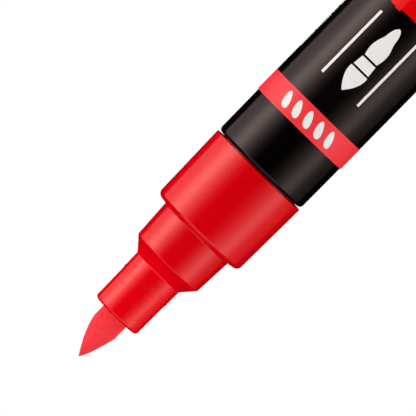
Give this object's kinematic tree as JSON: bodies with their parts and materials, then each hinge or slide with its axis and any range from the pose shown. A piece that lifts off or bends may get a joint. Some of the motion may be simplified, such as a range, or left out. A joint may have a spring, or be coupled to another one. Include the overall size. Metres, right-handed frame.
{
  "type": "brush pen",
  "caption": "Valve-action paint brush pen with a pointed red tuft, a stepped red holder, a printed black barrel and its cap posted on the tail, standing on the cap.",
  "frame": {"origin": "centre of the flat end face of the posted cap, which the pen stands on", "axes": "+Z along the pen's axis, from the cap's end face towards the point of the brush; +X is the side that the brush's full curve is on, and the label's printed marks face -Y"},
  "size_m": [0.0152, 0.0152, 0.1587],
  "materials": {
    "red_plastic": "moulded red polypropylene with a soft shine",
    "black_plastic": "moulded black polypropylene with a soft shine",
    "printed_film": "black film label, printed with a red band and white marks",
    "bristle": "fine nylon filaments soaked with red paint",
    "felt": "bonded fibre rod soaked with red paint",
    "natural_plastic": "uncoloured polyethylene",
    "seal_rubber": "matt black rubber",
    "spring_steel": "drawn stainless spring wire",
    "ball_steel": "polished stainless ball"
  },
  "bodies": {
    "cap": {"cap_shell": "red_plastic", "inner_cap": "natural_plastic"},
    "pen_barrel": {"barrel": "black_plastic", "label_film": "printed_film", "front_holder": "red_plastic", "nozzle": "red_plastic", "valve_body": "natural_plastic", "seat_gasket": "seal_rubber", "valve_cage": "natural_plastic", "valve_spring": "spring_steel", "tail_plug": "red_plastic"},
    "brush": {"brush_tuft": "bristle", "brush_holder": "natural_plastic", "ink_feeder": "felt"},
    "valve": {"valve_stem": "natural_plastic"},
    "ball_1": {"mixing_ball_1": "ball_steel"},
    "ball_2": {"mixing_ball_2": "ball_steel"}
  },
  "joints": [
    {"name": "cap_pull", "type": "slide", "parent": "cap", "child": "pen_barrel", "axis": [0, 0, 1], "range_m": [0, 0.03]},
    {"name": "brush_press", "type": "slide", "parent": "pen_barrel", "child": "brush", "axis": [0, 0, -1], "range_m": [0, 0.0015], "stiffness_N_per_m": 600, "springref_m": -0.002},
    {"name": "valve_lift", "type": "slide", "parent": "pen_barrel", "child": "valve", "axis": [0, 0, -1], "range_m": [0, 0.0015], "deforming": ["valve_spring"]},
    {"name": "ball_1_roll", "type": "slide", "parent": "pen_barrel", "child": "ball_1", "axis": [0, 0, 1], "range_m": [0, 0.07]},
    {"name": "ball_2_roll", "type": "slide", "parent": "pen_barrel", "child": "ball_2", "axis": [0, 0, 1], "range_m": [0, 0.07]}
  ],
  "couplings": [
    {"joint": "valve_lift", "follows": "brush_press", "ratio": 1}
  ]
}
